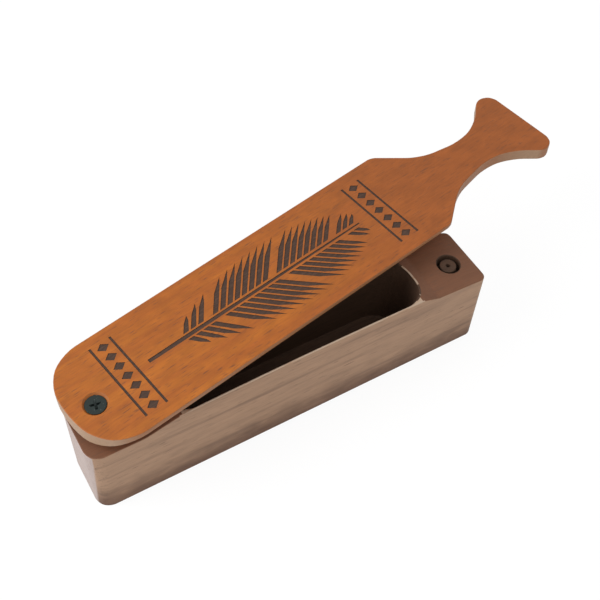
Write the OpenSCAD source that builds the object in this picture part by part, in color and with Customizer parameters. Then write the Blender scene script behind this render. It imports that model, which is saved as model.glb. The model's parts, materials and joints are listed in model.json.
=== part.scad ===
// Friction bird call: a hollow wooden sound box with a crowned paddle lid that
// turns on one screw and rubs the two arched lips of the box.
// Millimetres. X runs along the box towards the handle, Z is up, and the origin
// is the middle of the box's underside.

/* [Sound box] */
// Length of the box
box_l = 197.6; // [180:0.2:230]
// Width of the box
box_w = 33; // [31:0.5:45]
// Radius of the upright corners at the pivot end
corner_r = 7; // [2:0.5:11]
// Radius of the upright corners at the far end
far_corner_r = 4; // [1:0.5:8]
// Height of the flat block at the pivot end
pivot_block_h = 42; // [36:0.5:44]
// Height of the far block beside the sound chamber
far_block_h = 44.6; // [38:0.2:46]
// How much lower the far block is at its outer end
far_block_fall = 1.7; // [0:0.1:4]
// Radius of the top edge at the far end
far_edge_r = 1; // [0.5:0.5:6]
// Height of the lips at the crest of their arch
lip_h = 48.3; // [47:0.1:60]
// How far the arch of the lips falls from its crest to the pivot-side ramp
arch_rise = 1.7; // [0.6:0.1:3]
// Distance of the crest from the box's middle, towards the handle
crest_x = 19.4; // [-10:0.2:20]

/* [Sound chamber] */
// Length of the solid block at the pivot end
pivot_block_l = 38; // [34:0.5:50]
// Length of the solid block at the far end
far_block_l = 33.6; // [32:0.2:50]
// Thickness of the side walls below the flare
wall = 2.8; // [1.8:0.1:5]
// Thickness of the lips at their top
lip_t = 1; // [0.8:0.1:1.7]
// Height over which a wall thins to its lip
flare_h = 9; // [4:0.5:14]
// Thickness of the floor
floor_t = 6; // [3:0.5:10]
// Radius of three of the chamber's corners, seen from above
chamber_r = 11; // [4:0.5:12]
// Radius of the chamber's corner at the far end that the lid hides
chamber_hidden_r = 13.5; // [4:0.5:13.5]

/* [Lip ramps] */
// Distance from the pivot end to the foot of the ramp
pivot_ramp_foot = 25; // [16:0.5:30]
// Length of the pivot-side ramp
pivot_ramp_l = 15.5; // [10:0.5:24]
// Distance from the far end to the foot of the far ramp
far_ramp_foot = 27.5; // [24:0.1:38]
// Length of the far ramp
far_ramp_l = 8.5; // [6:0.5:20]
// Radius where a ramp runs into a block
ramp_foot_r = 14; // [2:0.5:20]
// Radius where a ramp runs into the arch
ramp_head_r = 9; // [2:0.5:14]

/* [Spring seats] */
// Distance from the pivot end to the screw
pivot_inset = 11.6; // [10:0.1:14]
// Distance from the far end to the second seat
far_seat_inset = 11.8; // [10:0.1:18]
// How far the second seat lies off the box's middle, away from the near side
far_seat_side = -1.4; // [-3:0.1:3]
// Outer diameter of the ring-shaped seat
seat_d = 11.2; // [9.6:0.1:14]
// Diameter of the boss inside the seat
boss_d = 7.8; // [6.6:0.1:8]
// Depth of the seat below the block
seat_depth = 7; // [4:0.5:12]
// How far the boss stops below the block
boss_drop = 1; // [0.2:0.1:2]
// Diameter of the starting hole in the far boss
start_hole_d = 2; // [1:0.1:4]
// Depth of the starting hole in the far boss
start_hole_depth = 9; // [4:0.5:20]

/* [Paddle lid] */
// Distance from the lid's rear edge to the screw
lid_inset = 12; // [9.5:0.1:16]
// Distance the screw lies off the lid's centre line
lid_offset = 2.8; // [0:0.05:6]
// How far the lid's shoulder stops short of the box's far end
shoulder_short = 7.4; // [4:0.2:20]
// Width of the blade at its rear
rear_w = 51.6; // [50:0.2:56]
// Width of the blade at the shoulder
shoulder_w = 54.6; // [50:0.2:60]
// Thickness of the blade at its crown
lid_t = 8.8; // [7.4:0.1:12]
// Thickness of the blade's edge at the shoulder
edge_t = 2.5; // [0.8:0.1:4]
// Radius of the rear corners
rear_r = 20; // [4:0.5:20]
// Radius of the shoulders
shoulder_r = 7; // [2:0.5:10]

/* [Handle] */
// Thickness of the handle
handle_t = 6.4; // [4:0.1:7.4]
// Length of the underside's slope from the blade to the handle
under_slope_l = 14; // [6:1:24]
// Length of the sloping shoulder
shoulder_l = 19; // [14:0.5:26]
// Width where the shoulder meets the neck
neck_root_w = 25.4; // [20:0.2:32]
// Length of the neck
neck_l = 31.8; // [26:0.2:44]
// Width that the neck narrows to before rounding
neck_w = 14.2; // [11:0.2:20]
// How far the neck lies off the lid's centre line, away from the near side
neck_offset = -1; // [-2:0.1:2]
// Length of the fish tail
tail_l = 27.2; // [20:0.1:32]
// Spread of the fish tail before its corners are rounded
tail_w = 60.2; // [50:0.2:70]
// Radius of the tail's corners
tail_r = 6.5; // [3:0.5:9]
// Radius of the curve into the neck
neck_root_r = 28; // [6:0.5:30]
// Radius of the curve from the neck into the tail
neck_tail_r = 33; // [10:0.5:34]

/* [Rest position] */
// Angle of the lid from the box, seen from above
lid_swing = 10.5; // [-20:0.5:20]
// Slope of the lid, handle up
lid_pitch = 1.15; // [0:0.05:2]
// Gap between the lid's crown and the lips
lip_gap = 0.3; // [0.2:0.1:1]

/* [Pivot screw] */
// Diameter of the countersunk head
head_d = 9.1; // [8:0.1:10]
// Full cone angle of the head
head_angle = 82; // [70:1:100]
// Diameter of the plain shank and over the thread
shank_d = 4.8; // [3.6:0.1:5]
// Diameter of the core under the thread
core_d = 3.4; // [2.4:0.1:3.5]
// Length of the screw
screw_l = 38; // [32:1:44]
// Pitch of the thread
thread_pitch = 1.95; // [1.4:0.05:2.6]
// How far the head lies below the lid's top
head_sink = 0.5; // [0.3:0.1:1.5]
// Gap between the head's cone and its countersink
cone_gap = 0.3; // [0.2:0.05:0.6]
// Play of the shank in the lid, to one side
bore_play = 0.65; // [0.5:0.05:1]
// Height of the straight rim of the head
head_rim = 0.15; // [0.1:0.05:0.6]
// Width across the cross recess
recess_d = 5; // [3.6:0.1:5.6]
// Width of one slot of the cross recess
recess_w = 1.1; // [0.8:0.05:1.5]
// Depth of the cross recess
recess_depth = 2; // [1:0.1:2.2]
// Turn of the cross recess, seen from above
recess_turn = -10; // [-45:5:45]

/* [Lid spring] */
// Diameter of the spring wire
wire_d = 0.9; // [0.6:0.05:1]
// Number of curls
spring_curls = 6; // [3:1:7]
// Gap at each end of the spring
spring_gap = 0.1; // [0.05:0.05:0.3]

/* [Hidden] */

// Overrun of every cut past the face that it leaves
overrun = 1;
// Facets of the true round shapes, of a hull's corners, and steps of an arc
round_fn = 64;
hull_fn = 32;
arc_steps = 10;
arch_steps = 24;
// Sides of the wire and rings in one curl of the spring
wire_sides = 6;
curl_rings = 8;

pivot_x = -box_l / 2 + pivot_inset;
far_seat_x = box_l / 2 - far_seat_inset;
chamber_rear = -box_l / 2 + pivot_block_l;
chamber_front = box_l / 2 - far_block_l;

// Corner radii from the near corner at the pivot end round the box, seen from above
box_radii = [corner_r, far_corner_r, far_corner_r, corner_r];
chamber_radii = [chamber_r, chamber_r, min(chamber_hidden_r, box_w / 2 - wall), chamber_r];

// The ramps and the arch that the lips follow between them
pivot_foot_x = -box_l / 2 + pivot_ramp_foot;
pivot_head_x = pivot_foot_x + pivot_ramp_l;
far_foot_x = box_l / 2 - far_ramp_foot;
far_head_x = far_foot_x - far_ramp_l;
arch_half = crest_x - pivot_head_x;
arch_r = (arch_half * arch_half + arch_rise * arch_rise) / (2 * arch_rise);
far_end_h = far_block_h - far_block_fall;
far_seat_h = far_end_h + far_block_fall * far_seat_inset / far_ramp_foot;

// The lid's crown line is tangent to a circle that lies lip_gap above the arch
crown_crest_z = lip_h - arch_r + (arch_r + lip_gap) / cos(lid_pitch);
crown_pivot_z = crown_crest_z - (crest_x - pivot_x) * tan(lid_pitch);
lid_top_z = crown_pivot_z + lid_t / cos(lid_pitch);

// Outline of the lid: rear corner, shoulder, both ends of the neck and tail
rear_u = -lid_inset;
shoulder_u = box_l - pivot_inset - shoulder_short;
neck_root_u = shoulder_u + shoulder_l;
neck_u = neck_root_u + neck_l;
tail_u = neck_u + tail_l;
slope_u = shoulder_u - shoulder_r / 2;
lid_l = tail_u - rear_u;
// How far the rear edge bows out between its corners, and that bend's radius,
// as shares of the blade's width there
rear_bow_share = 0.082;
rear_bend_share = 0.95;

// Crown of the underside: a long cylinder that leaves edge_t at the shoulder
crown_sag = lid_t - edge_t;
crown_r = (pow(shoulder_w / 2, 2) + pow(crown_sag, 2)) / (2 * crown_sag);

// The screw, from its head down
head_top_z = lid_top_z - head_sink;
head_cone_h = (head_d - shank_d) / 2 / tan(head_angle / 2);
screw_tip_z = head_top_z - screw_l;
boss_top_z = pivot_block_h - boss_drop;
tip_l = shank_d;
thread_turns = floor((boss_top_z - screw_tip_z - tip_l) / thread_pitch);
// The countersink follows the head's cone at the stated gap
sink_spread = cone_gap / cos(head_angle / 2);
bore_d = shank_d + 2 * bore_play;

// The spring stands in the middle of its seat, with its flats as far from the
// boss as its corners are from the seat's wall, and stops under the lid
spring_r = (seat_d + boss_d) / 2 / (1 + cos(180 / curl_rings));
spring_foot_z = pivot_block_h - seat_depth + spring_gap;
spring_top_z = crown_pivot_z - (spring_r + wire_d / 2) * tan(lid_pitch) - spring_gap;
spring_rise = spring_top_z - spring_foot_z - 2 * wire_d;

function unit(v) = v / norm(v);
function turn_to(a, b) = (b - a + 540) % 360 - 180;

// Points of the arc that rounds corner b of the path a, b, c
function corner_arc(a, b, c, r) =
    let (to_a = unit(a - b), to_c = unit(c - b),
         half = acos(to_a * to_c) / 2,
         middle = b + unit(to_a + to_c) * r / sin(half),
         first = b + to_a * r / tan(half) - middle,
         last = b + to_c * r / tan(half) - middle,
         from = atan2(first[1], first[0]),
         sweep = turn_to(from, atan2(last[1], last[0])))
    [for (k = [0 : arc_steps])
        middle + r * [cos(from + sweep * k / arc_steps), sin(from + sweep * k / arc_steps)]];

// Outline through [x, y, radius] corners, each rounded; a radius of 0 stays sharp
function rounded_loop(corners) =
    let (n = len(corners))
    [for (i = [0 : n - 1])
        let (here = [corners[i][0], corners[i][1]],
             before = corners[(i + n - 1) % n],
             after = corners[(i + 1) % n])
        for (p = corners[i][2] == 0
            ? [here]
            : corner_arc([before[0], before[1]], here, [after[0], after[1]], corners[i][2])) p];

function arch_z(x) = lip_h - arch_r + sqrt(arch_r * arch_r - pow(x - crest_x, 2));

// Rectangle with round corners, built from true circles. The radii run round it
// from the near corner at the pivot end.
module round_rectangle(l, w, radii) {
    corners = [[-1, -1, radii[0]], [1, -1, radii[1]], [1, 1, radii[2]], [-1, 1, radii[3]]];
    polygon([for (c = corners)
        let (on_end = [c[0] * l / 2, c[1] * (w / 2 - c[2])],
             on_side = [c[0] * (l / 2 - c[2]), c[1] * w / 2])
        each c[0] * c[1] > 0 ? [on_end, on_side] : [on_side, on_end]]);
    for (c = corners)
        translate([c[0] * (l / 2 - c[2]), c[1] * (w / 2 - c[2])])
            circle(r = c[2], $fn = round_fn);
}

// Side view of the box: flat blocks at the ends, ramps, and the arch between
module side_view() {
    arch = [for (k = [1 : arch_steps - 1])
        let (x = pivot_head_x + (far_head_x - pivot_head_x) * k / arch_steps)
        [x, arch_z(x), 0]];
    polygon(rounded_loop(concat(
        [[-box_l / 2, 0, 0],
         [-box_l / 2, pivot_block_h, 0],
         [pivot_foot_x, pivot_block_h, ramp_foot_r],
         [pivot_head_x, arch_z(pivot_head_x), ramp_head_r]],
        arch,
        [[far_head_x, arch_z(far_head_x), ramp_head_r / 2],
         [far_foot_x, far_block_h, ramp_foot_r / 2],
         [box_l / 2, far_end_h, far_edge_r],
         [box_l / 2, 0, 0]])));
}

// Plan of the chamber with its walls at a given thickness
module chamber_plan(side_wall) {
    l = chamber_front - chamber_rear + 2 * (wall - side_wall);
    translate([(chamber_rear + chamber_front) / 2, 0])
        round_rectangle(l, box_w - 2 * side_wall, chamber_radii);
}

// The routed chamber, whose walls thin towards the lips
module chamber() {
    flare_foot = lip_h - flare_h;
    flare_grow = (wall - lip_t) / flare_h;
    translate([0, 0, floor_t])
        linear_extrude(flare_foot - floor_t + overrun) chamber_plan(wall);
    hull()
        for (k = [0 : 3]) {
            r = chamber_radii[k];
            x = k == 0 || k == 3 ? chamber_rear + r : chamber_front - r;
            y = (k < 2 ? -1 : 1) * (box_w / 2 - wall - r);
            translate([x, y, flare_foot])
                cylinder(r1 = r, r2 = r + flare_grow * (flare_h + overrun),
                         h = flare_h + overrun, $fn = hull_fn);
        }
}

// Ring-shaped seat round a boss, cut down from a block of height top_z
module spring_seat(top_z) {
    difference() {
        translate([0, 0, top_z - seat_depth])
            cylinder(d = seat_d, h = seat_depth + overrun, $fn = round_fn);
        translate([0, 0, top_z - seat_depth - overrun])
            cylinder(d = boss_d, h = seat_depth + overrun - boss_drop, $fn = round_fn);
    }
}

module sound_box() {
    color("#8a6a58")
    difference() {
        intersection() {
            linear_extrude(lip_h + overrun) round_rectangle(box_l, box_w, box_radii);
            rotate([90, 0, 0])
                linear_extrude(box_w + 2 * overrun, center = true) side_view();
        }
        chamber();
        translate([pivot_x, 0, 0]) {
            spring_seat(pivot_block_h);
            translate([0, 0, screw_tip_z])
                cylinder(d = core_d, h = boss_top_z - screw_tip_z + overrun, $fn = round_fn);
        }
        translate([far_seat_x, far_seat_side, 0]) {
            spring_seat(far_seat_h);
            translate([0, 0, far_seat_h - boss_drop - start_hole_depth])
                cylinder(d = start_hole_d, h = start_hole_depth + overrun, $fn = round_fn);
        }
    }
}

// Plan of the lid, with u along it from the screw and its centre line at v = 0
module lid_plan() {
    half_plan = [
        [rear_u + rear_bow_share * rear_w, rear_w / 2, rear_r, 0],
        [shoulder_u, shoulder_w / 2, shoulder_r, 0],
        [neck_root_u, neck_root_w / 2, neck_root_r, neck_offset],
        [neck_u, neck_w / 2, neck_tail_r, neck_offset],
        [tail_u, tail_w / 2, tail_r, 0]];
    far_side = [for (c = half_plan) [c[0], c[3] + c[1], c[2]]];
    near_side = [for (k = [len(half_plan) - 1 : -1 : 0])
        let (c = half_plan[k]) [c[0], c[3] - c[1], c[2]]];
    polygon(rounded_loop(concat([[rear_u, 0, rear_bend_share * rear_w]], far_side, near_side)));
}

// Side view of the blade: full thickness, sloping up to the handle's
module blade_side_view() {
    polygon([
        [rear_u - overrun, overrun],
        [rear_u - overrun, -lid_t - overrun],
        [slope_u, -lid_t - overrun],
        [slope_u, -lid_t],
        [slope_u + under_slope_l, -handle_t],
        [slope_u + under_slope_l, overrun]]);
}

// Side view of the handle, whose underside slopes in from the lid's top
module handle_side_view() {
    polygon([
        [slope_u, 0],
        [slope_u + under_slope_l, -handle_t],
        [tail_u + overrun, -handle_t],
        [tail_u + overrun, overrun],
        [slope_u, overrun]]);
}

// A side view of the lid, drawn out to more than the lid's width
module drawn_across() {
    rotate([90, 0, 0])
        linear_extrude(tail_w + 2 * overrun, center = true) children();
}

// The lid lying level: top at w = 0, the blade's crown below it, and the handle
module lid_board() {
    intersection() {
        translate([0, 0, -lid_t]) linear_extrude(lid_t) lid_plan();
        union() {
            intersection() {
                translate([rear_u - overrun, 0, crown_r - lid_t])
                    rotate([0, 90, 0])
                        cylinder(r = crown_r, h = lid_l + 2 * overrun, $fn = 4 * round_fn);
                drawn_across() blade_side_view();
            }
            drawn_across() handle_side_view();
        }
    }
}

// Upright hole and countersink for the screw, from the lid's underside up
module lid_hole() {
    cone_r = head_d / 2 + sink_spread;
    cone_top_z = head_top_z - head_rim;
    foot_z = cone_top_z - (cone_r - bore_d / 2) / tan(head_angle / 2);
    flare_top = lid_top_z + overrun;
    translate([0, 0, crown_pivot_z - overrun])
        cylinder(d = bore_d, h = flare_top - crown_pivot_z + overrun, $fn = round_fn);
    translate([0, 0, foot_z])
        cylinder(r1 = bore_d / 2, r2 = bore_d / 2 + (flare_top - foot_z) * tan(head_angle / 2),
                 h = flare_top - foot_z, $fn = round_fn);
}

module paddle_lid() {
    color("#b5692f")
    translate([pivot_x, 0, 0])
        difference() {
            translate([0, 0, lid_top_z])
                rotate([0, 0, lid_swing])
                    rotate([0, -lid_pitch, 0])
                        translate([0, lid_offset, 0]) lid_board();
            lid_hole();
        }
}

// Half section of the screw: head, shank, thread ridges and point
module screw_section() {
    shank_foot_z = boss_top_z;
    ridge = thread_pitch / 8;
    threads = [for (k = [0 : thread_turns - 1], p = [0 : 3])
        let (z = shank_foot_z - k * thread_pitch)
        p == 0 ? [shank_d / 2, z] :
        p == 1 ? [shank_d / 2, z - ridge] :
        p == 2 ? [core_d / 2, z - 3 * ridge] :
                 [core_d / 2, z - thread_pitch + 2 * ridge]];
    polygon(concat(
        [[0, head_top_z],
         [head_d / 2, head_top_z],
         [head_d / 2, head_top_z - head_rim],
         [shank_d / 2, head_top_z - head_rim - head_cone_h]],
        threads,
        [[core_d / 2, screw_tip_z + tip_l],
         [0, screw_tip_z]]));
}

// Cross recess that narrows towards its floor
module cross_recess() {
    cut_h = recess_depth + overrun;
    mouth_d = recess_w + (recess_d - recess_w) * cut_h / recess_depth;
    intersection() {
        for (a = [0, 90])
            rotate([0, 0, a])
                translate([-mouth_d / 2, -recess_w / 2, -recess_depth])
                    cube([mouth_d, recess_w, cut_h]);
        translate([0, 0, -recess_depth])
            cylinder(d1 = recess_w, d2 = mouth_d, h = cut_h, $fn = round_fn);
    }
}

module pivot_screw() {
    color("#3a4440")
    translate([pivot_x, 0, 0])
        difference() {
            rotate_extrude($fn = round_fn) screw_section();
            translate([0, 0, head_top_z]) rotate([0, 0, recess_turn]) cross_recess();
        }
}

// Middle line of the spring wire: an upright foot, the curls and an upright top
function spring_point(k) =
    let (turn = k / curl_rings)
    [spring_r * cos(turn * 360), spring_r * sin(turn * 360),
     spring_foot_z + wire_d + spring_rise * turn / spring_curls];
spring_last = curl_rings * spring_curls;
spring_curve = [for (k = [0 : spring_last]) spring_point(k)];
spring_path = concat(
    [[spring_r, 0, spring_foot_z]],
    spring_curve,
    [[spring_curve[spring_last][0], spring_curve[spring_last][1], spring_top_z]]);

// Least distance between places on the wire that lie half a curl or more apart
spring_clear = min([for (i = [0 : spring_last - curl_rings / 2])
    min([for (j = [i + curl_rings / 2 : spring_last])
        norm(spring_curve[j] - spring_curve[i])])]) - wire_d;
echo(least_gap_of_spring_to_itself = spring_clear);

// A tube along a path, each ring square to the bisector of its two legs
module tube(path, d, sides) {
    n = len(path);
    legs = [for (i = [0 : n - 2]) unit(path[i + 1] - path[i])];
    heads = [for (i = [0 : n - 1])
        i == 0 ? legs[0] : i == n - 1 ? legs[n - 2] : unit(legs[i - 1] + legs[i])];
    rings = [for (i = [0 : n - 1])
        let (outward = unit([path[i][0], path[i][1], 0]),
             side = unit(outward - (outward * heads[i]) * heads[i]),
             up = cross(heads[i], side))
        for (s = [0 : sides - 1])
            path[i] + d / 2 * (cos(360 * s / sides) * side + sin(360 * s / sides) * up)];
    skin = [for (i = [0 : n - 2], s = [0 : sides - 1])
        let (a = i * sides + s, b = i * sides + (s + 1) % sides)
        each [[a, a + sides, b], [b, a + sides, b + sides]]];
    caps = [for (s = [1 : sides - 2])
        each [[0, s, s + 1],
              [(n - 1) * sides, (n - 1) * sides + s + 1, (n - 1) * sides + s]]];
    polyhedron(points = rings, faces = concat(skin, caps));
}

module lid_spring() {
    color("#9a9ca0")
    translate([pivot_x, 0, 0]) tube(spring_path, wire_d, wire_sides);
}

sound_box();
paddle_lid();
pivot_screw();
lid_spring();
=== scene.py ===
"""Looks of a friction bird call: a routed walnut sound box and a mahogany paddle lid."""

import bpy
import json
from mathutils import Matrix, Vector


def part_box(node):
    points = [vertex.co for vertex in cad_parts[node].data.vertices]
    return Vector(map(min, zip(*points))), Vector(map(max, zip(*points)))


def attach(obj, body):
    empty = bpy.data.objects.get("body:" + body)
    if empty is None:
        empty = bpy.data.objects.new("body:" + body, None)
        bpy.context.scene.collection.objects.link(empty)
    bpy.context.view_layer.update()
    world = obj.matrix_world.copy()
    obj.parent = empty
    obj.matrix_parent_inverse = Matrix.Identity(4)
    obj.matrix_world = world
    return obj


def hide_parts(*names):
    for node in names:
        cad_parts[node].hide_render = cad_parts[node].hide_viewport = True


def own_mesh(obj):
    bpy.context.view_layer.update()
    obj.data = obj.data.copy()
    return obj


bl_info = {
    "name": "Friction Bird Call",
    "version": (1, 0, 0),
    "blender": (4, 5, 0),
    "location": "3D View > Sidebar > Bird Call",
    "description": "Dresses the wooden box call in wood, steel and studio light",
    "category": "Add Mesh",
}

import json
import math

import bmesh
import bpy
import numpy as np
from mathutils import Matrix, Vector

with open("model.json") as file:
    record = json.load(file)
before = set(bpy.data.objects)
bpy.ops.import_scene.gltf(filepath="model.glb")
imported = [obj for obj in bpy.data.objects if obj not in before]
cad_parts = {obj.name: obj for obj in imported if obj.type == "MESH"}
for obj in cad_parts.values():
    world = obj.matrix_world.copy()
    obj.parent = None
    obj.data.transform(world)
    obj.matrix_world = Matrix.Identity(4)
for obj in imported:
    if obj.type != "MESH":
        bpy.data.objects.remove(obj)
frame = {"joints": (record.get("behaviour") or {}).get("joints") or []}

MM = 0.001
JOINTS = {joint["name"]: joint for joint in frame["joints"]}
PIVOT = Vector(JOINTS["lid_swing"]["pos_m"])
TILT_AXIS = JOINTS["lid_tilt"]["axis"]
SWING = math.atan2(TILT_AXIS[0], -TILT_AXIS[1])
SCREW_LOW, SCREW_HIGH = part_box("pivot_screw")
SPRING_LOW, SPRING_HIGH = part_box("lid_spring")

# The solids' own sizes, in millimetres
BOX_L, BOX_W, CORNER_R, FAR_CORNER_R = 197.6, 33, 7, 4
PIVOT_BLOCK_H, FAR_BLOCK_H, FAR_END_H, FAR_EDGE_R = 42, 44.6, 42.9, 1
LIP_H, ARCH_RISE, CREST_X = 48.3, 1.7, 19.4
PIVOT_FOOT_X, PIVOT_HEAD_X, FAR_HEAD_X, FAR_FOOT_X = -73.8, -58.3, 62.8, 71.3
CHAMBER_REAR, CHAMBER_FRONT, CHAMBER_R, CHAMBER_HIDDEN_R = -60.8, 65.2, 11, 13.5
RAMP_FOOT_R, RAMP_HEAD_R = 14, 9
WALL, LIP_T, FLARE_FOOT, FLOOR_T = 2.8, 1, 39.3, 6
SEAT_R, BOSS_R, SEAT_DEPTH, BOSS_DROP = 5.6, 3.9, 7, 1
FAR_SEAT = (87.0, -1.4)
PILOT_R, PILOT_DEPTH, START_HOLE_R, START_HOLE_DEPTH = 1.7, 32, 1, 9
LID_INSET, LID_OFFSET, LID_T, EDGE_T, HANDLE_T = 12, 2.8, 8.8, 2.5, 6.4
REAR_W, SHOULDER_W, NECK_ROOT_W, NECK_W, TAIL_W = 51.6, 54.6, 25.4, 14.2, 60.2
SHOULDER_U, NECK_ROOT_U, NECK_U, TAIL_U = 178.6, 197.6, 229.4, 256.6
REAR_R, SHOULDER_R, NECK_ROOT_R, NECK_R, TAIL_R = 20, 7, 28, 33, 6.5
SLOPE_U, SLOPE_L, NECK_OFFSET = 175.1, 14, -1
LID_PITCH, LID_TOP_Z = math.radians(1.15), 55.62
HEAD_R, HEAD_RIM, SHANK_R, CORE_R = 4.55, 0.15, 2.4, 1.7
HEAD_HALF_ANGLE = math.radians(41)
CONE_GAP, BORE_R, POINT_L = 0.3, 3.05, 4.8
WIRE_R, SPRING_R = 0.45, 4.75

# The block's height before its top is moved to the arch and the end blocks
BLANK_H = 45
# The rear edge's bow and its radius, as shares of the rear's width
REAR_BOW, REAR_BOW_R = 0.082, 0.95
# The rise of a closed end curl, in radii of the wire
CLOSED_RISE = 2.06

# The burnt design, in millimetres along and across the lid; each band has a line on both sides
FEATHER_ROOT, FEATHER_TIP, QUILL_L = 44, 146, 16
BARBS, BARB_REACH, BARB_ROOT = 25, 19.5, 1.7
BAND_PLACES, BAND_HALF_W, LINE_PLACE, LINE_HALF_W = (17.5, 158.5), 20.5, 5, 0.55
LOZENGE_PITCH, LOZENGE_HALF_L, LOZENGE_HALF_W = 5.9, 2.9, 2.2

# Where the lid's grain starts and how it is turned
LID_GRAIN = {"Location": (PIVOT.x, PIVOT.y, LID_TOP_Z * MM), "Rotation": (0, 0, SWING)}

# The camera that was fitted to the photograph: its lens and sensor are in millimetres
LENS, SENSOR_W, VIEW_TARGET = 59.909, 36, Vector((25.57, 28.69, 20)) * MM
# Where the lamps point, and half the floor's width in metres
LAMP_TARGET, FLOOR_HALF_W = Vector((0, 0, 25)) * MM, 3


def linear(hex_value):
    """An sRGB hex colour as linear RGBA."""
    parts = [int(hex_value[k:k + 2], 16) / 255 for k in (1, 3, 5)]
    return tuple(p / 12.92 if p <= 0.04045 else ((p + 0.055) / 1.055) ** 2.4 for p in parts) + (1,)


def length(name, mm, description):
    return bpy.props.FloatProperty(
        name=name, description=description, default=mm * MM, min=0, unit="LENGTH", precision=5)


def colour(name, hex_value, description):
    return bpy.props.FloatVectorProperty(
        name=name, description=description, default=linear(hex_value), size=4, min=0, max=1,
        subtype="COLOR")


def share(name, value, description, most=1):
    return bpy.props.FloatProperty(
        name=name, description=description, default=value, min=0, max=most, subtype="FACTOR")


class SoundBoxSettings(bpy.types.PropertyGroup):
    edge_round: length("Edge rounding", 0.5, "Radius sanded on the box's top edges")
    foot_round: length("Foot rounding", 0.9, "Radius sanded on the box's bottom edges")
    rim_round: length("Rim rounding", 0.4, "Width eased off the chamber's rim")
    floor_fillet: length("Floor fillet", 2, "Radius that the router bit leaves round the floor")
    # Painted reflection: the sides' grey cast is partly the white surroundings' reflection
    side: colour("Side", "#96765C", "Sanded side grain")
    # Painted shade: the tops' colour is partly a darker stain, partly painted shade
    top: colour("Top", "#6C4630", "Top faces of the end blocks")
    # Painted highlight: the end's pale colour stands for the left lamp's light and reflection on
    # the end grain
    end: colour("End", "#A0908A", "Sanded end grain")
    # The foot colour only makes the box darker towards the bottom
    foot: colour("Foot", "#5E3E28", "Darker heartwood towards the bottom")
    streak: colour("Streaks", "#5E4434", "Dark growth streaks")
    # Painted shade: the chamber's dark colour is partly unfinished wood, partly painted shade of
    # the recess
    chamber: colour("Chamber", "#402C1E", "Routed, unsanded walls of the chamber")
    # Painted highlight: the lips' pale colour is partly chalk and rubbing, partly the highlight on
    # the eased rim
    lip: colour("Lips", "#A48E7A", "Chalked and rubbed top of the lips")
    gloss: share("Roughness", 0.6, "Roughness of the waxed walnut")


class LidSettings(bpy.types.PropertyGroup):
    edge_round: length("Edge rounding", 0.5, "Radius sanded on the lid's edges")
    burn_depth: length("Burn depth", 0.25, "Depth of the burnt design")
    light: colour("Light wood", "#A25B18", "Lighter bands of the mahogany")
    dark: colour("Dark wood", "#965018", "Darker bands of the mahogany")
    handle: colour("Handle", "#8E4C1C", "Redder wood towards the handle")
    pore: colour("Pores", "#744222", "Open pores of the grain")
    rim: colour("Edge", "#8A5C3A", "Sawn long edge")
    # Painted highlight: the rear edge's pale colour stands for the left lamp's light and sheen
    # rather than less oil
    rear: colour("Rear edge", "#94765C", "Sawn end grain at the rear, which took little of the oil")
    burnt: colour("Burnt", "#3C2A20", "Floor of the burnt design")
    gloss: share("Roughness", 0.55, "Roughness of the oiled mahogany")


class FixingSettings(bpy.types.PropertyGroup):
    recess_width: length("Recess", 5, "Width across the screw's cross recess")
    recess_slot: length("Slot", 1.1, "Width of one slot of the recess")
    recess_depth: length("Recess depth", 2, "Depth of the cross recess")
    recess_turn: bpy.props.FloatProperty(
        name="Recess turn", description="Turn of the cross, seen from above",
        default=math.radians(-10), unit="ROTATION")
    thread_pitch: length("Thread pitch", 1.95, "Pitch of the wood screw's thread")
    spring_curls: bpy.props.IntProperty(
        name="Curls", description="Turns of the spring", default=6, min=3, max=8)
    oxide: colour("Black oxide", "#2C3432", "Chemically blackened steel")
    bare: colour("Bare steel", "#8C9490", "Steel where the driver has rubbed the oxide")
    wire: colour("Wire", "#B4B6B8", "Hard drawn spring wire")


class StageSettings(bpy.types.PropertyGroup):
    floor: colour("Floor", "#FFFFFF", "Plain pale floor")
    key: bpy.props.FloatProperty(
        name="Key light", description="Power of the large lamp on the left", default=7, min=0,
        unit="POWER")
    fill: bpy.props.FloatProperty(
        name="Fill light", description="Power of the lamp in front", default=2.2, min=0,
        unit="POWER")
    sky: share("Sky", 0.75, "Strength of the white surroundings", 2)
    azimuth: bpy.props.FloatProperty(
        name="Azimuth", description="Camera's turn round the call",
        default=math.radians(-32.96), unit="ROTATION")
    elevation: bpy.props.FloatProperty(
        name="Elevation", description="Camera's height as an angle",
        default=math.radians(52.60), unit="ROTATION")
    roll: bpy.props.FloatProperty(
        name="Roll", description="Camera's tilt to one side",
        default=math.radians(3.45), unit="ROTATION")
    distance: length("Distance", 478.48, "From the camera to its target")


# Shapes

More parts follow.
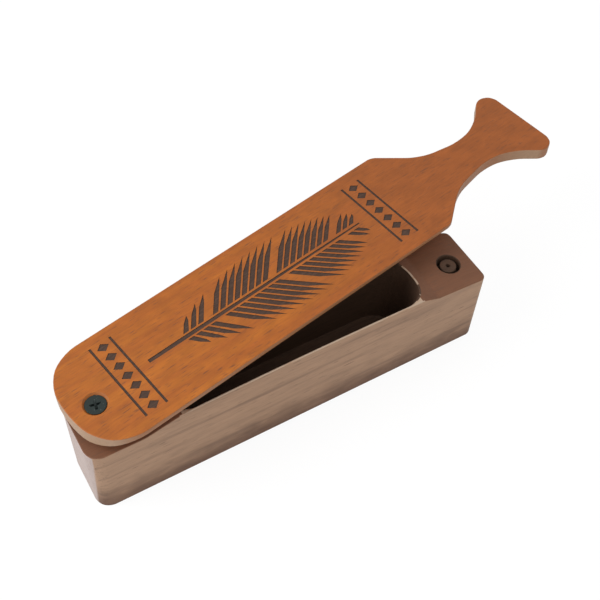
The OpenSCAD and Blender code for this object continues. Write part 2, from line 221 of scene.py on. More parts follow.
def rounded_face(outline, segments=5):
    """A flat face through (x, y, radius) corners, in millimetres, each rounded to its radius.
    A wide turn is split into lesser ones along its arc, which keeps the arc circular."""
    points, cuts = [Vector((x, y)) * MM for x, y, _ in outline], []
    for k, (_, _, radius) in enumerate(outline):
        here, radius = points[k], radius * MM
        if not radius:
            cuts.append((here, 0))
            continue
        before, after = points[k - 1] - here, points[(k + 1) % len(points)] - here
        half = before.angle(after) / 2
        turn = math.pi - 2 * half
        parts = math.ceil(turn / math.radians(45))
        bisector = (before.normalized() + after.normalized()).normalized()
        centre = here + bisector * radius / math.sin(half)
        side = -1 if before.x * after.y - before.y * after.x > 0 else 1
        for part in range(parts):
            lean = ((part + 0.5) / parts - 0.5) * turn * side
            out = Matrix.Rotation(lean, 2) @ -bisector
            cuts.append((centre + out * radius / math.cos(turn / parts / 2),
                         radius * math.tan(turn / parts / 2)))
    bm = bmesh.new()
    verts = [bm.verts.new((*point, 0)) for point, _ in cuts]
    bm.faces.new(verts)
    for vert, (_, reach) in zip(verts, cuts):
        if reach:
            bmesh.ops.bevel(bm, geom=[vert], offset=reach, offset_type="OFFSET",
                            segments=segments, profile=0.5, affect="VERTICES", material=-1)
    bmesh.ops.remove_doubles(bm, verts=bm.verts, dist=1e-5)
    return bm


def round_rectangle(size, radii, z=0):
    """A flat rectangle whose corners are rounded; the radii run round it from the near left."""
    x, y = size[0] / 2, size[1] / 2
    near_left, near_right, far_right, far_left = radii
    bm = rounded_face([(-x, -y, near_left), (x, -y, near_right), (x, y, far_right),
                       (-x, y, far_left)], 6)
    bmesh.ops.translate(bm, vec=(0, 0, z), verts=bm.verts)
    return bm


def extrude(bm, faces, offset):
    """Extrudes faces along a vector and returns the moved faces."""
    on_solid = all(len(edge.link_faces) > 1 for face in faces for edge in face.edges)
    moved = bmesh.ops.extrude_face_region(bm, geom=faces)["geom"]
    if on_solid:
        bmesh.ops.delete(bm, geom=faces, context="FACES")
    verts = [e for e in moved if isinstance(e, bmesh.types.BMVert)]
    bmesh.ops.translate(bm, vec=offset, verts=verts)
    return [e for e in moved if isinstance(e, bmesh.types.BMFace)]


def round_edges(bm, z, radius, segments):
    """Rounds the outline at height z."""
    edges = [e for e in bm.edges if all(abs(v.co.z - z) < 1e-6 for v in e.verts)]
    bmesh.ops.bevel(bm, geom=edges, offset=radius, offset_type="OFFSET", segments=segments,
                    profile=0.5, affect="EDGES", clamp_overlap=True, material=-1)


def slice_at(bm, places, axis, faces=None):
    """Splits the faces, or all of them, by planes at the places along an axis."""
    for place in places:
        chosen = [f for f in bm.faces if faces is None or faces(f)]
        parts = {e for f in chosen for e in f.edges} | {v for f in chosen for v in f.verts}
        bmesh.ops.bisect_plane(bm, geom=chosen + list(parts), dist=1e-6,
                               plane_co=axis * place, plane_no=axis)


def spun(profile, centre):
    """A closed solid of revolution from (radius, height) points in millimetres."""
    bm = bmesh.new()
    verts = [bm.verts.new((centre[0] + r * MM, centre[1], z * MM)) for r, z in profile]
    edges = [bm.edges.new(pair) for pair in zip(verts, verts[1:])]
    bmesh.ops.spin(bm, geom=verts + edges, cent=(centre[0], centre[1], 0), axis=(0, 0, 1),
                   angle=math.tau, steps=64, use_merge=True)
    bmesh.ops.remove_doubles(bm, verts=bm.verts, dist=1e-6)
    bmesh.ops.recalc_face_normals(bm, faces=bm.faces)
    return bm


def add_piece(name, bm, *materials):
    """Makes an object of a bmesh, closed and facing outwards."""
    bmesh.ops.recalc_face_normals(bm, faces=bm.faces)
    if any(not edge.is_manifold for edge in bm.edges):
        raise RuntimeError(f"{name} isn't closed")
    if bm.calc_volume(signed=True) < 0:
        bmesh.ops.reverse_faces(bm, faces=bm.faces)
    mesh = bpy.data.meshes.new(name)
    bm.to_mesh(mesh)
    bm.free()
    for material in materials:
        mesh.materials.append(material)
    piece = bpy.data.objects.new(name, mesh)
    bpy.context.scene.collection.objects.link(piece)
    return piece


def cut(piece, bm, material):
    """Takes a bmesh solid out of a piece, and gives the cut faces a material."""
    cutter = add_piece("cutter", bm, material)
    modifier = piece.modifiers.new("cut", "BOOLEAN")
    modifier.operation, modifier.solver = "DIFFERENCE", "EXACT"
    modifier.object, modifier.material_mode = cutter, "TRANSFER"
    graph = bpy.context.evaluated_depsgraph_get()
    whole, piece_mesh = bpy.data.meshes.new_from_object(piece.evaluated_get(graph)), piece.data
    piece.modifiers.clear()
    piece.data = whole
    whole.name = piece.name
    bpy.data.meshes.remove(piece_mesh)
    bpy.data.objects.remove(cutter)


def finish_piece(piece, body, node, sharp=35):
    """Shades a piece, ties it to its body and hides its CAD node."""
    piece.data.shade_smooth()
    piece.data.set_sharp_from_angle(angle=math.radians(sharp))
    modifier = piece.modifiers.new("even shading", "WEIGHTED_NORMAL")
    modifier.keep_sharp = True
    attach(piece, body)
    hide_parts(node)


# Sound box

def side_line():
    """The box's top as (x, z) in metres, read off a face of its side view."""
    half = CREST_X - PIVOT_HEAD_X
    arch_r = (half * half + ARCH_RISE * ARCH_RISE) / (2 * ARCH_RISE)

    def arch_z(x):
        return LIP_H - arch_r + math.sqrt(arch_r * arch_r - (x - CREST_X) ** 2)

    steps = 24
    arch = [PIVOT_HEAD_X + (FAR_HEAD_X - PIVOT_HEAD_X) * k / steps for k in range(1, steps)]
    bm = rounded_face([
        (-BOX_L / 2, 0, 0), (-BOX_L / 2, PIVOT_BLOCK_H, 0),
        (PIVOT_FOOT_X, PIVOT_BLOCK_H, RAMP_FOOT_R),
        (PIVOT_HEAD_X, arch_z(PIVOT_HEAD_X), RAMP_HEAD_R),
        *[(x, arch_z(x), 0) for x in arch],
        (FAR_HEAD_X, arch_z(FAR_HEAD_X), RAMP_HEAD_R / 2),
        (FAR_FOOT_X, FAR_BLOCK_H, RAMP_FOOT_R / 2),
        (BOX_L / 2, FAR_END_H, FAR_EDGE_R), (BOX_L / 2, 0, 0)])
    heights = {}
    for vert in bm.verts:
        x = round(vert.co.x, 6)
        heights[x] = max(heights.get(x, 0), vert.co.y)
    bm.free()
    return np.array(sorted(heights.items()))


def follow_line(bm, line, top, above):
    """Splits a solid along the line and lifts what is above a height to follow it."""
    low, high = (f(v.co.x for v in bm.verts) for f in (min, max))
    places, last, least = [], low, 0.2 * MM
    for x in line[:, 0]:
        if last + least < x < high - least:
            places.append(x)
            last = x
    slice_at(bm, places, Vector((1, 0, 0)))
    for vert in bm.verts:
        if vert.co.z > above:
            vert.co.z += float(np.interp(vert.co.x, line[:, 0], line[:, 1])) - top


def sound_box_block(sizes, line):
    """The block that the chamber is routed from."""
    top = BLANK_H * MM
    bm = round_rectangle((BOX_L, BOX_W), (CORNER_R, FAR_CORNER_R, FAR_CORNER_R, CORNER_R))
    extrude(bm, bm.faces[:], (0, 0, top))
    bmesh.ops.recalc_face_normals(bm, faces=bm.faces)
    round_edges(bm, 0, sizes.foot_round, 4)
    round_edges(bm, top, sizes.edge_round, 4)
    # Each seat is cut across two faces, so that no face has a hole in it
    slice_at(bm, [PIVOT.x + 0.2 * MM, (FAR_SEAT[0] + 0.2) * MM], Vector((1, 0, 0)))
    follow_line(bm, line, top, top / 2)
    return bm


def chamber_cutter(sizes, line):
    """What the router took out, with an eased rim that follows the lips."""
    top, foot = BLANK_H * MM, FLARE_FOOT * MM
    middle = (CHAMBER_REAR + CHAMBER_FRONT) / 2 * MM
    size = Vector((CHAMBER_FRONT - CHAMBER_REAR, BOX_W - 2 * WALL, 0))
    bm = round_rectangle(size, (CHAMBER_R, CHAMBER_R, CHAMBER_HIDDEN_R, CHAMBER_R), FLOOR_T * MM)
    size *= MM
    faces = extrude(bm, bm.faces[:], (0, 0, foot - FLOOR_T * MM))
    # The rim is eased into the ends, and outwards along the thin lips
    flare, ease, z, before = (WALL - LIP_T) * MM, sizes.rim_round, foot, size
    for height, grow in ((top - ease, Vector((flare - 2 * ease, flare, 0))),
                         (top, Vector((flare, flare + ease, 0))),
                         (top + 6 * MM, Vector((flare, flare + ease, 0)))):
        faces = extrude(bm, faces, (0, 0, height - z))
        after = size + 2 * grow
        bmesh.ops.scale(bm, vec=(after.x / before.x, after.y / before.y, 1),
                        verts=list({v for f in faces for v in f.verts}))
        z, before = height, after
    bmesh.ops.recalc_face_normals(bm, faces=bm.faces)
    round_edges(bm, FLOOR_T * MM, sizes.floor_fillet, 4)
    bmesh.ops.translate(bm, vec=(middle, 0, 0), verts=bm.verts)
    follow_line(bm, line, top, foot + 1 * MM)
    return bm


def seat_cutter(place, line, hole_r, hole_depth):
    """A ring-shaped spring seat round a boss with a hole, its edges eased."""
    top = float(np.interp(place[0] * MM, line[:, 0], line[:, 1])) / MM
    boss, foot, ease = top - BOSS_DROP, top - SEAT_DEPTH, 0.3
    bm = spun([
        (0, boss - hole_depth), (hole_r, boss - hole_depth + 0.4 * hole_r),
        (hole_r, boss - ease / 2), (hole_r + ease / 2, boss), (BOSS_R - ease, boss),
        (BOSS_R, boss - ease), (BOSS_R, foot + ease / 3), (BOSS_R + ease / 3, foot),
        (SEAT_R - ease / 3, foot), (SEAT_R, foot + ease / 3), (SEAT_R, top - ease),
        (SEAT_R + ease, top), (SEAT_R + ease, top + 4), (0, top + 4)],
        (place[0] * MM, place[1] * MM))
    for vert in bm.verts:
        if vert.co.z > (top - ease - 0.01) * MM:
            vert.co.z += float(np.interp(vert.co.x, line[:, 0], line[:, 1])) - top * MM
    return bm


class BIRDCALL_OT_sound_box(bpy.types.Operator):
    """Model the walnut sound box with its routed chamber, lips and spring seats"""
    bl_idname = "bird_call.sound_box"
    bl_label = "Sound Box"

    def execute(self, context):
        sizes = context.scene.bird_call_box
        line = side_line()
        routed = routed_walnut_and_shade(sizes)
        box = add_piece("walnut_sound_box", sound_box_block(sizes, line), waxed_walnut_and_painted_light(sizes))
        # The routed faces take the dark chamber colour, which is partly painted shade
        cut(box, chamber_cutter(sizes, line), routed)
        cut(box, seat_cutter((PIVOT.x / MM, 0), line, PILOT_R, PILOT_DEPTH), routed)
        cut(box, seat_cutter(FAR_SEAT, line, START_HOLE_R, START_HOLE_DEPTH), routed)
        box.data.materials.append(rubbed_lip_and_highlight(sizes))
        lip = len(box.data.materials) - 1
        # The rubbed faces, also painted pale as a highlight, are the lips' tops with their inner
        # rounding, and the far rim
        inner, rim_end = (BOX_W / 2 - LIP_T - 0.6) * MM, (CHAMBER_FRONT + WALL - LIP_T) * MM
        for face in box.data.polygons:
            x, y, z = face.center
            on_top = z > float(np.interp(x, line[:, 0], line[:, 1])) - sizes.rim_round
            on_lip = abs(y) > inner and PIVOT_HEAD_X * MM < x < FAR_HEAD_X * MM
            on_rim = FAR_HEAD_X * MM < x < rim_end and face.normal.x < -0.1
            if on_top and (on_lip or on_rim):
                face.material_index = lip
        finish_piece(box, "box", "sound_box")
        return {"FINISHED"}


# Paddle lid

def lid_place():
    """Where the lid's own frame (u along it, v across, top at 0) stands at rest."""
    return (Matrix.Translation((PIVOT.x, PIVOT.y, LID_TOP_Z * MM))
            @ Matrix.Rotation(SWING, 4, "Z") @ Matrix.Rotation(-LID_PITCH, 4, "Y")
            @ Matrix.Translation((0, LID_OFFSET * MM, 0)))


def underside(u, v):
    """Height of the lid's underside in millimetres: a crowned blade, then a flat handle."""
    sag = LID_T - EDGE_T
    crown_r = ((SHOULDER_W / 2) ** 2 + sag * sag) / (2 * sag)
    crown = -LID_T + crown_r - math.sqrt(crown_r * crown_r - v * v)
    slope = min(max((u - SLOPE_U) / SLOPE_L, 0), 1)
    if slope == 1:
        return -HANDLE_T
    return min(max(crown, -LID_T + (LID_T - HANDLE_T) * slope), -HANDLE_T * slope)


def lid_board(sizes):
    """The board in its own frame."""
    half = [(-LID_INSET + REAR_BOW * REAR_W, REAR_W / 2, REAR_R, 0),
            (SHOULDER_U, SHOULDER_W / 2, SHOULDER_R, 0),
            (NECK_ROOT_U, NECK_ROOT_W / 2, NECK_ROOT_R, NECK_OFFSET),
            (NECK_U, NECK_W / 2, NECK_R, NECK_OFFSET), (TAIL_U, TAIL_W / 2, TAIL_R, 0)]
    bm = rounded_face([(-LID_INSET, 0, REAR_BOW_R * REAR_W),
                       *[(u, aside + v, r) for u, v, r, aside in half],
                       *[(u, aside - v, r) for u, v, r, aside in reversed(half)]])
    extrude(bm, bm.faces[:], (0, 0, -LID_T * MM))
    bmesh.ops.recalc_face_normals(bm, faces=bm.faces)
    round_edges(bm, -LID_T * MM, sizes.edge_round, 3)
    round_edges(bm, 0, sizes.edge_round, 4)

    def low(face):
        return face.calc_center_median().z < -LID_T / 2 * MM

    # The underside is split finely enough to take its crown and its slope
    across, along, steps = range(-30, 31, 3), range(5, 170, 15), 7
    slopes = [SLOPE_U + SLOPE_L * k / steps for k in range(steps + 1)]
    slice_at(bm, [v * MM for v in across], Vector((0, 1, 0)), low)
    slice_at(bm, [u * MM for u in [*along, *slopes]], Vector((1, 0, 0)), low)
    for vert in bm.verts:
        if vert.co.z < -LID_T / 2 * MM:
            vert.co.z += (underside(vert.co.x / MM, vert.co.y / MM) + LID_T) * MM
    bmesh.ops.transform(bm, matrix=lid_place(), verts=bm.verts)
    return bm


def screw_hole():
    """Upright bore and countersink for the pivot screw, in millimetres."""
    spread = CONE_GAP / math.cos(HEAD_HALF_ANGLE)
    cone_top = SCREW_HIGH.z / MM - HEAD_RIM
    cone_foot = cone_top - (HEAD_R + spread - BORE_R) / math.tan(HEAD_HALF_ANGLE)
    over, under = LID_TOP_Z + 2, LID_TOP_Z - 12
    return spun([(0, under), (BORE_R, under), (BORE_R, cone_foot),
                 (BORE_R + (over - cone_foot) * math.tan(HEAD_HALF_ANGLE), over), (0, over)],
                (PIVOT.x, PIVOT.y))


def burnt_strokes():
    """A feather between two bands of lozenges, as flat strokes of (u, v) points."""
    root, tip = FEATHER_ROOT, FEATHER_TIP
    quill = [(root - QUILL_L, 0.9), (root, 1.0), (tip, 0.35)]
    strokes = [quill + [(u, -v) for u, v in reversed(quill)]]
    for k in range(BARBS):
        t = k / (BARBS - 1)
        u = root + 3 + (tip - root - 8) * t
        reach = BARB_REACH * math.sin(math.pi * (0.12 + 0.80 * t ** 0.85)) ** 0.8
        sweep = (reach - BARB_ROOT) * (0.95 + 0.35 * t)
        for side in (-1, 1):
            # Every ninth barb is missing, as a split in the vane
            if (k + (side > 0)) % 9 == 4:
                continue
            foot, end = side * BARB_ROOT, side * reach
            strokes.append([
                (u, foot), (u + 2.9, foot), (u + 1.9 + 0.62 * sweep, foot + 0.66 * (end - foot)),
                (u + sweep, end), (u + 0.50 * sweep, foot + 0.60 * (end - foot))])
    for middle in BAND_PLACES:
        for u in (middle - LINE_PLACE, middle + LINE_PLACE):
            strokes.append([(u - LINE_HALF_W, -BAND_HALF_W), (u + LINE_HALF_W, -BAND_HALF_W),
                            (u + LINE_HALF_W, BAND_HALF_W), (u - LINE_HALF_W, BAND_HALF_W)])
        for k in range(-3, 4):
            v = k * LOZENGE_PITCH
            strokes.append([(middle - LOZENGE_HALF_L, v), (middle, v - LOZENGE_HALF_W),
                            (middle + LOZENGE_HALF_L, v), (middle, v + LOZENGE_HALF_W)])
    return strokes


def burn_cutter(sizes):
    """The burnt strokes as shallow solids that reach out of the lid's top."""
    bm = bmesh.new()
    for stroke in burnt_strokes():
        bm.faces.new([bm.verts.new((u * MM, v * MM, -sizes.burn_depth)) for u, v in stroke])
    extrude(bm, bm.faces[:], (0, 0, sizes.burn_depth + 1 * MM))
    bmesh.ops.transform(bm, matrix=lid_place(), verts=bm.verts)
    return bm


class BIRDCALL_OT_paddle_lid(bpy.types.Operator):
    """Model the mahogany paddle lid with its crown, handle, screw hole and burnt design"""
    bl_idname = "bird_call.paddle_lid"
    bl_label = "Paddle Lid"

    def execute(self, context):
        sizes = context.scene.bird_call_lid
        wood = oiled_mahogany(sizes)
        lid = add_piece("mahogany_lid", lid_board(sizes), wood)
        cut(lid, screw_hole(), wood)
        cut(lid, burn_cutter(sizes), burnt_wood(sizes))
        finish_piece(lid, "lid", "paddle_lid")
        return {"FINISHED"}


# Screw and spring

def recess_arm(sizes, turn):
    """One slot of the cross recess, narrower towards its floor."""
    bm = bmesh.new()
    bmesh.ops.create_cube(bm, size=1)
    depth = sizes.recess_depth
    bmesh.ops.scale(bm, vec=(sizes.recess_width, sizes.recess_slot, 2 * depth), verts=bm.verts)
    # It tapers to its foot, and widens as evenly above the head's top
    foot = [v for v in bm.verts if v.co.z < 0]
    bmesh.ops.scale(bm, vec=(0.1, 0.75, 1), verts=foot)
    head = [v for v in bm.verts if v.co.z > 0]
    bmesh.ops.scale(bm, vec=(1.9, 1.25, 1), verts=head)
    place = Matrix.Translation((PIVOT.x, PIVOT.y, SCREW_HIGH.z))
    bmesh.ops.transform(bm, matrix=place @ Matrix.Rotation(turn, 4, "Z"), verts=bm.verts)
    return bm


def wind(bm, section, runs, steps=32):
    """Winds a closed loop round the screw in runs of (curls, rise of each) and caps the ends."""
    end = section
    for curls, rise in runs:
        end = bmesh.ops.spin(bm, geom=end, cent=PIVOT, axis=(0, 0, 1), dvec=(0, 0, rise / steps),
                             angle=math.tau * curls, steps=steps * curls)["geom_last"]
    bmesh.ops.holes_fill(bm, edges=[e for e in bm.edges if e.is_boundary], sides=0)


def thread(sizes):
    """The wood screw's helical ridge, sunk a little into its core."""
    top, foot = (PIVOT_BLOCK_H - BOSS_DROP - 1) * MM, SCREW_LOW.z + 4 * MM
    sunk_r, root_half, crest_half = CORE_R - 0.15, 0.42, 0.06
    bm = bmesh.new()
    verts = [bm.verts.new((PIVOT.x + r * MM, PIVOT.y, top + z * MM)) for r, z in (
        (sunk_r, root_half), (sunk_r, -root_half), (SHANK_R, -crest_half), (SHANK_R, crest_half))]
    edges = [bm.edges.new((verts[k - 1], verts[k])) for k in range(4)]
    turns = int((top - foot) / sizes.thread_pitch)
    wind(bm, verts + edges, [(turns, -sizes.thread_pitch)], 24)
    return bm


class BIRDCALL_OT_screw(bpy.types.Operator):
    """Model the blackened countersunk wood screw with its cross recess"""
    bl_idname = "bird_call.screw"
    bl_label = "Pivot Screw"

    def execute(self, context):
        sizes = context.scene.bird_call_fixings
        steel = black_oxide(sizes)
        top, tip = SCREW_HIGH.z / MM, SCREW_LOW.z / MM
        cone_foot = top - HEAD_RIM - (HEAD_R - SHANK_R) / math.tan(HEAD_HALF_ANGLE)
        boss = PIVOT_BLOCK_H - BOSS_DROP
        screw = add_piece("flat_head_screw", spun([
            (0, top), (HEAD_R - 0.45, top), (HEAD_R - 0.15, top - 0.06), (HEAD_R, top - 0.2),
            (HEAD_R - 0.1, top - 0.35), (SHANK_R, cone_foot), (SHANK_R, boss + 0.4),
            (CORE_R, boss - 0.4), (CORE_R, tip + POINT_L), (0.2, tip + 0.05), (0, tip)],
            (PIVOT.x, PIVOT.y)), steel)
        for quarter in (0, math.pi / 2):
            cut(screw, recess_arm(sizes, sizes.recess_turn + quarter), steel)
        ridge = add_piece("thread", thread(sizes), steel)
        bm = bmesh.new()
        bm.from_mesh(screw.data)
        bm.from_mesh(ridge.data)
        bm.to_mesh(screw.data)
        bm.free()
        bpy.data.objects.remove(ridge)
        finish_piece(screw, "box", "pivot_screw", 30)
        return {"FINISHED"}


class BIRDCALL_OT_spring(bpy.types.Operator):
    """Model the coil spring that holds the lid up, wound with closed end curls"""
    bl_idname = "bird_call.spring"
    bl_label = "Lid Spring"

    def execute(self, context):
        sizes = context.scene.bird_call_fixings
        low, high = SPRING_LOW.z + WIRE_R * MM, SPRING_HIGH.z - WIRE_R * MM
        closed = CLOSED_RISE * WIRE_R * MM
        open_curls = sizes.spring_curls - 2
        open_pitch = (high - low - 2 * closed) / open_curls
        bm = bmesh.new()
        ring = bmesh.ops.create_circle(
            bm, radius=WIRE_R * MM, segments=12,
            matrix=Matrix.Translation((PIVOT.x + SPRING_R * MM, PIVOT.y, low))
            @ Matrix.Rotation(math.pi / 2, 4, "X"))["verts"]
        wind(bm, ring + bm.edges[:], [(1, closed), (open_curls, open_pitch), (1, closed)])
        spring = add_piece("coil_spring", bm, drawn_wire(sizes))
        finish_piece(spring, "spring", "lid_spring", 60)
        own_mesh(spring)
        return {"FINISHED"}


# Materials

def add_node(tree, kind, inputs=None, **settings):
    """Adds a node, sets it, and fills its sockets with values or links."""
    node = tree.nodes.new(kind)
    for name, value in settings.items():
        setattr(node, name, value)
    for key, value in (inputs or {}).items():
        if isinstance(value, bpy.types.NodeSocket):
            tree.links.new(value, node.inputs[key])
        else:
            node.inputs[key].default_value = value
    return node


def new_material(name, **values):
    """A material with constant values on its shader's own sockets."""
    material = bpy.data.materials.new(name)
    material.use_nodes = True
    shader = material.node_tree.nodes["Principled BSDF"]
    for key, value in values.items():
        shader.inputs[key].default_value = value
    return material, material.node_tree, shader


def grain(tree, place, size, detail=3, roughness=0.55, distortion=0):
    """Noise whose cells measure size (along, across, up) in millimetres, from 0 to 1."""
    cells = add_node(tree, "ShaderNodeMapping", {"Vector": place, "Scale": Vector(size) * MM},
                     vector_type="TEXTURE").outputs[0]
    return add_node(tree, "ShaderNodeTexNoise", {
        "Vector": cells, "Scale": 1, "Detail": detail, "Roughness": roughness,
        "Distortion": distortion}).outputs["Fac"]


def blend(tree, amount, first, second, low, high):
    """Mixes two colours as an amount goes from low to high."""
    factor = add_node(tree, "ShaderNodeMapRange", {
        "Value": amount, "From Min": low, "From Max": high},
        interpolation_type="SMOOTHSTEP").outputs[0]
    return add_node(tree, "ShaderNodeMix", {0: factor, 6: first, 7: second},
                    data_type="RGBA").outputs[2]


def shaded(tree, tone, amount, low, high):
    """Darkens and lightens a colour by shares between low and high as an amount varies."""
    factor = add_node(tree, "ShaderNodeMapRange", {
        "Value": amount, "From Min": 0.3, "From Max": 0.7,
        "To Min": low, "To Max": high}).outputs[0]
    return add_node(tree, "ShaderNodeVectorMath", {0: tone, 3: factor},
                    operation="SCALE").outputs[0]


def scaled(tone, factor):
    """A colour with its channels multiplied by a factor."""
    return tuple(min(1, factor * part) for part in tone[:3]) + (1,)


def surface(tree, shader, tone, height, strength, depth):
    """Gives the shader a colour and a relief, whose depth is in millimetres."""
    relief = add_node(tree, "ShaderNodeBump", {
        "Strength": strength, "Distance": depth * MM, "Height": height}).outputs[0]
    tree.links.new(tone, shader.inputs["Base Color"])
    tree.links.new(relief, shader.inputs["Normal"])


def oiled_mahogany(look):
    """Planed and oiled mahogany: warm orange brown with short dark pores along the board."""
    material, tree, shader = new_material("oiled_mahogany", Roughness=look.gloss, IOR=1.4)
    coords = add_node(tree, "ShaderNodeTexCoord").outputs
    along = add_node(tree, "ShaderNodeMapping", {"Vector": coords["Object"], **LID_GRAIN},
                     vector_type="TEXTURE").outputs[0]
    axes = add_node(tree, "ShaderNodeSeparateXYZ", {0: along}).outputs
    facing = add_node(tree, "ShaderNodeSeparateXYZ", {0: coords["Normal"]}).outputs
    flat = add_node(tree, "ShaderNodeMath", {0: facing["Z"]}, operation="ABSOLUTE").outputs[0]
    # Bands about 6 mm wide run with the board, and softer patches measure 9 by 6 mm
    bands = grain(tree, along, (90, 6, 9), 2)
    patches = grain(tree, along, (9, 6, 6), 2, 0.5, 0.4)
    fibres = grain(tree, along, (12, 0.8, 0.8), 3, 0.65)
    # Real pores are 0.2 mm wide and are drawn 0.45 mm wide, so that they show
    pores = grain(tree, along, (5, 0.45, 0.45), 1, 0.4)
    tone = blend(tree, bands, look.dark, look.light, 0.3, 0.7)
    tone = blend(tree, axes["X"], tone, look.handle, 0.06, 0.2)
    tone = shaded(tree, tone, patches, 0.90, 1.10)
    tone = blend(tree, pores, look.pore, tone, 0.22, 0.42)
    # Painted highlight: edges facing the rear are painted pale for the left lamp's light and sheen
    back = add_node(tree, "ShaderNodeVectorMath", {
        0: coords["Normal"], 1: (-math.cos(SWING), -math.sin(SWING), 0)},
        operation="DOT_PRODUCT").outputs["Value"]
    rim = blend(tree, back, look.rim, look.rear, 0.1, 0.7)
    tone = blend(tree, flat, rim, tone, 0.35, 0.75)
    tone = shaded(tree, tone, fibres, 0.90, 1.07)
    surface(tree, shader, tone, pores, 0.3, 0.1)
    return material


def burnt_wood(look):
    """Laser-burnt mahogany: matt brown char with the fibres showing through."""
    material, tree, shader = new_material("burnt_mahogany", Roughness=0.85, IOR=1.45)
    place = add_node(tree, "ShaderNodeTexCoord").outputs["Object"]
    along = add_node(tree, "ShaderNodeMapping", {"Vector": place, **LID_GRAIN},
                     vector_type="TEXTURE").outputs[0]
    char = grain(tree, along, (4, 0.7, 0.7), 3, 0.6)
    tone = blend(tree, char, look.burnt, scaled(look.burnt, 1.7), 0.4, 0.75)
    surface(tree, shader, tone, char, 0.5, 0.15)
    return material


def waxed_walnut_and_painted_light(look):
    """Sanded and waxed walnut: grey brown sides that darken to the foot, and open pores; the sides'
    grey is partly painted reflection, the pale ends are painted highlight and the darker tops are
    partly painted shade.
    """
    material, tree, shader = new_material("waxed_walnut_and_painted_light", Roughness=look.gloss, IOR=1.4)
    coords = add_node(tree, "ShaderNodeTexCoord").outputs
    place = coords["Object"]
    axes = add_node(tree, "ShaderNodeSeparateXYZ", {0: place}).outputs
    facing = add_node(tree, "ShaderNodeSeparateXYZ", {0: coords["Normal"]}).outputs
    streaks = grain(tree, place, (90, 4, 4.5), 3, 0.5, 0.4)
    patches = grain(tree, place, (14, 6, 5), 2, 0.5, 0.4)
    fibres = grain(tree, place, (16, 0.7, 0.7), 3, 0.65)
    # Real pores are 0.2 mm wide and are drawn 0.5 mm wide, so that they show
    pores = grain(tree, place, (7, 0.5, 0.5), 1, 0.4)
    # The colour, darker towards the bottom, gives way to the sides' colour about 7 to 12 mm up
    height = add_node(tree, "ShaderNodeMath", {0: patches, 1: 12 * MM, 2: axes["Z"]},
                      operation="MULTIPLY_ADD").outputs[0]
    tone = blend(tree, height, look.foot, look.side, 5 * MM, 26 * MM)
    tone = blend(tree, streaks, look.streak, tone, 0.1, 0.5)
    # Painted shade: faces turned up take the darker top colour, which is partly stain and partly
    # painted shade
    tone = blend(tree, facing["Z"], tone, look.top, 0.4, 0.85)
    # Painted highlight: the sawn end is painted pale for the left lamp's light and reflection, and
    # meets the sanded corner in a line that leans over the block's height
    lean = 0.2 / (PIVOT_BLOCK_H * MM)
    end_highlight = add_node(tree, "ShaderNodeMath", {0: facing["X"]}, operation="ABSOLUTE").outputs[0]
    end_highlight = add_node(tree, "ShaderNodeMath", {0: axes["Z"], 1: lean, 2: end_highlight},
                       operation="MULTIPLY_ADD").outputs[0]
    tone = blend(tree, end_highlight, tone, look.end, 0.90, 0.97)
    tone = shaded(tree, tone, patches, 0.93, 1.05)
    tone = shaded(tree, tone, fibres, 0.90, 1.06)
    tone = blend(tree, pores, look.streak, tone, 0.2, 0.38)
    surface(tree, shader, tone, pores, 0.3, 0.1)
    return material


def routed_walnut_and_shade(look):
    """Bare routed walnut: dull and darker, partly as painted shade of the hollows, with the
    cutter's faint marks.
    """
    material, tree, shader = new_material("routed_walnut_and_shade", Roughness=0.75, IOR=1.45)
    place = add_node(tree, "ShaderNodeTexCoord").outputs["Object"]
    fibres = grain(tree, place, (12, 0.9, 0.9), 3, 0.65)
    # The router bit leaves a ripple about 2 mm apart
    marks = grain(tree, place, (2, 2, 40), 1)
    tone = blend(tree, fibres, look.chamber, scaled(look.chamber, 1.5), 0.3, 0.7)
    surface(tree, shader, tone, marks, 0.4, 0.15)
    return material


def rubbed_lip_and_highlight(look):
    """Walnut edge rubbed pale by the lid and by chalk, and paler still as a painted highlight."""
    material, tree, shader = new_material("chalked_walnut_and_highlight", Roughness=0.7, IOR=1.45)
    place = add_node(tree, "ShaderNodeTexCoord").outputs["Object"]
    dust = grain(tree, place, (9, 1.5, 1.5), 3, 0.6)
    tone = blend(tree, dust, look.side, look.lip, 0.3, 0.55)
    tree.links.new(tone, shader.inputs["Base Color"])
    return material


def black_oxide(look):
    """Blackened steel: dark grey-green, semi-matt, with the steel showing in fine rubs."""
    material, tree, shader = new_material("black_oxide_steel", Roughness=0.42, Metallic=0.6)
    place = add_node(tree, "ShaderNodeTexCoord").outputs["Object"]
    rubs = grain(tree, place, (0.9, 0.9, 0.9), 4, 0.7)
    tone = blend(tree, rubs, look.oxide, look.bare, 0.6, 0.85)
    surface(tree, shader, tone, rubs, 0.2, 0.05)
    return material


def drawn_wire(look):
    """Hard drawn spring wire: bright steel with fine marks from the die."""
    material, tree, shader = new_material("drawn_spring_wire", Roughness=0.3, Metallic=1)
    place = add_node(tree, "ShaderNodeTexCoord").outputs["Object"]
    marks = grain(tree, place, (1.5, 1.5, 0.15), 2)
    tone = blend(tree, marks, scaled(look.wire, 0.6), look.wire, 0.3, 0.6)
    tree.links.new(tone, shader.inputs["Base Color"])
    return material


# Stage

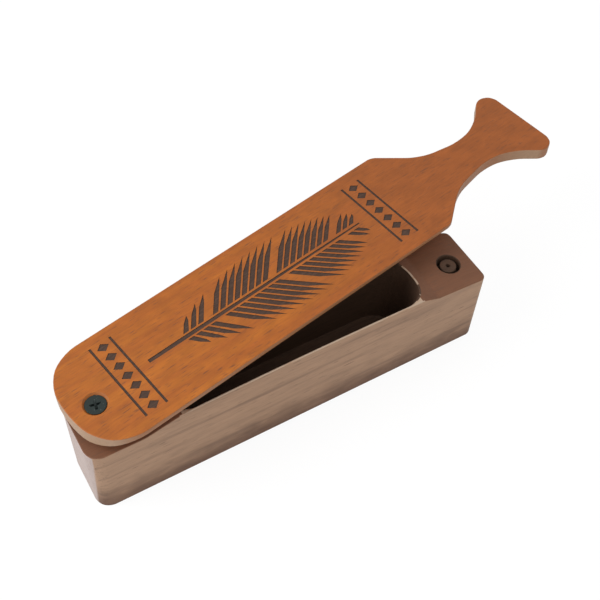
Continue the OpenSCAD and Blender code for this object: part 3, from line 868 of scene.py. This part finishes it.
def white_floor(look):
    """Seamless white paper: the camera sees it white, with part of its shadow."""
    material, tree, shader = new_material("white_paper", Roughness=0.9)
    shader.inputs["Base Color"].default_value = look.floor
    rays = add_node(tree, "ShaderNodeLightPath").outputs
    seen = add_node(tree, "ShaderNodeMath", {
        0: rays["Is Camera Ray"], 1: rays["Is Glossy Ray"]}, operation="MAXIMUM").outputs[0]
    seen = add_node(tree, "ShaderNodeMath", {
        0: seen, 1: rays["Is Transmission Ray"]}, operation="MAXIMUM").outputs[0]
    # A tenth of the shadow is left for the camera to see
    part = add_node(tree, "ShaderNodeMath", {0: seen, 1: 0.9}, operation="MULTIPLY").outputs[0]
    glow = add_node(tree, "ShaderNodeEmission", {"Color": (1, 1, 1, 1), "Strength": 1}).outputs[0]
    mixed = add_node(tree, "ShaderNodeMixShader", {0: part, 1: shader.outputs[0], 2: glow})
    tree.links.new(mixed.outputs[0], tree.nodes["Material Output"].inputs["Surface"])
    return material


class BIRDCALL_OT_stage(bpy.types.Operator):
    """Lay the pale floor and set the soft lights and the camera"""
    bl_idname = "bird_call.stage"
    bl_label = "Floor, Lights and Camera"

    def execute(self, context):
        look, scene = context.scene.bird_call_stage, context.scene
        bm = bmesh.new()
        bmesh.ops.create_grid(bm, x_segments=1, y_segments=1, size=FLOOR_HALF_W)
        mesh = bpy.data.meshes.new("floor")
        bm.to_mesh(mesh)
        bm.free()
        mesh.materials.append(white_floor(look))
        floor = bpy.data.objects.new("floor", mesh)
        scene.collection.objects.link(floor)

        world = bpy.data.worlds.new("white_studio")
        world.use_nodes = True
        tree = world.node_tree
        rays = add_node(tree, "ShaderNodeLightPath").outputs
        seen = add_node(tree, "ShaderNodeMath", {
            0: rays["Is Camera Ray"], 1: rays["Is Transmission Ray"]},
            operation="MAXIMUM").outputs[0]
        strength = add_node(tree, "ShaderNodeMapRange", {
            "Value": seen, "To Min": look.sky, "To Max": 1}).outputs[0]
        background = tree.nodes["Background"]
        background.inputs["Color"].default_value = (1, 1, 1, 1)
        tree.links.new(strength, background.inputs["Strength"])
        scene.world = world

        for name, spot, size, power in (
                ("key", (-0.75, 0.25, 0.62), 0.7, look.key),
                ("fill", (0.00, -0.50, 0.95), 0.6, look.fill)):
            lamp = bpy.data.lights.new(name, "AREA")
            lamp.shape, lamp.size, lamp.energy = "DISK", size, power
            holder = bpy.data.objects.new(name, lamp)
            holder.location = spot
            aim = LAMP_TARGET - Vector(spot)
            holder.rotation_euler = aim.to_track_quat("-Z", "Y").to_euler()
            scene.collection.objects.link(holder)

        a, e, r = look.azimuth, look.elevation, look.roll
        back = Vector((math.sin(a) * math.cos(e), -math.cos(a) * math.cos(e), math.sin(e)))
        right = Vector((math.cos(a), math.sin(a), 0))
        up = back.cross(right)
        across = right * math.cos(r) + up * math.sin(r)
        upright = up * math.cos(r) - right * math.sin(r)
        camera = bpy.data.cameras.new("camera")
        camera.lens, camera.sensor_width = LENS, SENSOR_W
        view = bpy.data.objects.new("camera", camera)
        turn = Matrix((across, upright, back)).transposed().to_4x4()
        view.matrix_world = Matrix.Translation(VIEW_TARGET + back * look.distance) @ turn
        scene.collection.objects.link(view)
        scene.camera = view
        scene.view_settings.view_transform = "Standard"
        return {"FINISHED"}


class BIRDCALL_PT_panel(bpy.types.Panel):
    """Lists the pieces of the call"""
    bl_idname = "BIRDCALL_PT_panel"
    bl_label = "Bird Call"
    bl_space_type = "VIEW_3D"
    bl_region_type = "UI"
    bl_category = "Bird Call"

    def draw(self, context):
        for settings, operators in PIECES:
            column = self.layout.box().column()
            group = getattr(context.scene, settings)
            for name in group.bl_rna.properties.keys():
                if name not in {"rna_type", "name"}:
                    column.prop(group, name)
            for operator in operators:
                column.operator(operator)


PIECES = (
    ("bird_call_box", ("bird_call.sound_box",)),
    ("bird_call_lid", ("bird_call.paddle_lid",)),
    ("bird_call_fixings", ("bird_call.screw", "bird_call.spring")),
    ("bird_call_stage", ("bird_call.stage",)),
)
SETTINGS = {
    "bird_call_box": SoundBoxSettings,
    "bird_call_lid": LidSettings,
    "bird_call_fixings": FixingSettings,
    "bird_call_stage": StageSettings,
}
CLASSES = (
    SoundBoxSettings, LidSettings, FixingSettings, StageSettings, BIRDCALL_OT_sound_box,
    BIRDCALL_OT_paddle_lid, BIRDCALL_OT_screw, BIRDCALL_OT_spring, BIRDCALL_OT_stage,
    BIRDCALL_PT_panel,
)


def register():
    for cls in CLASSES:
        bpy.utils.register_class(cls)
    for name, settings in SETTINGS.items():
        setattr(bpy.types.Scene, name, bpy.props.PointerProperty(type=settings))


def unregister():
    for name in SETTINGS:
        delattr(bpy.types.Scene, name)
    for cls in reversed(CLASSES):
        bpy.utils.unregister_class(cls)


def main():
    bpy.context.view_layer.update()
    register()
    for operator in (bpy.ops.bird_call.sound_box, bpy.ops.bird_call.paddle_lid,
                     bpy.ops.bird_call.screw, bpy.ops.bird_call.spring, bpy.ops.bird_call.stage):
        operator()


if __name__ == "__main__":
    main()
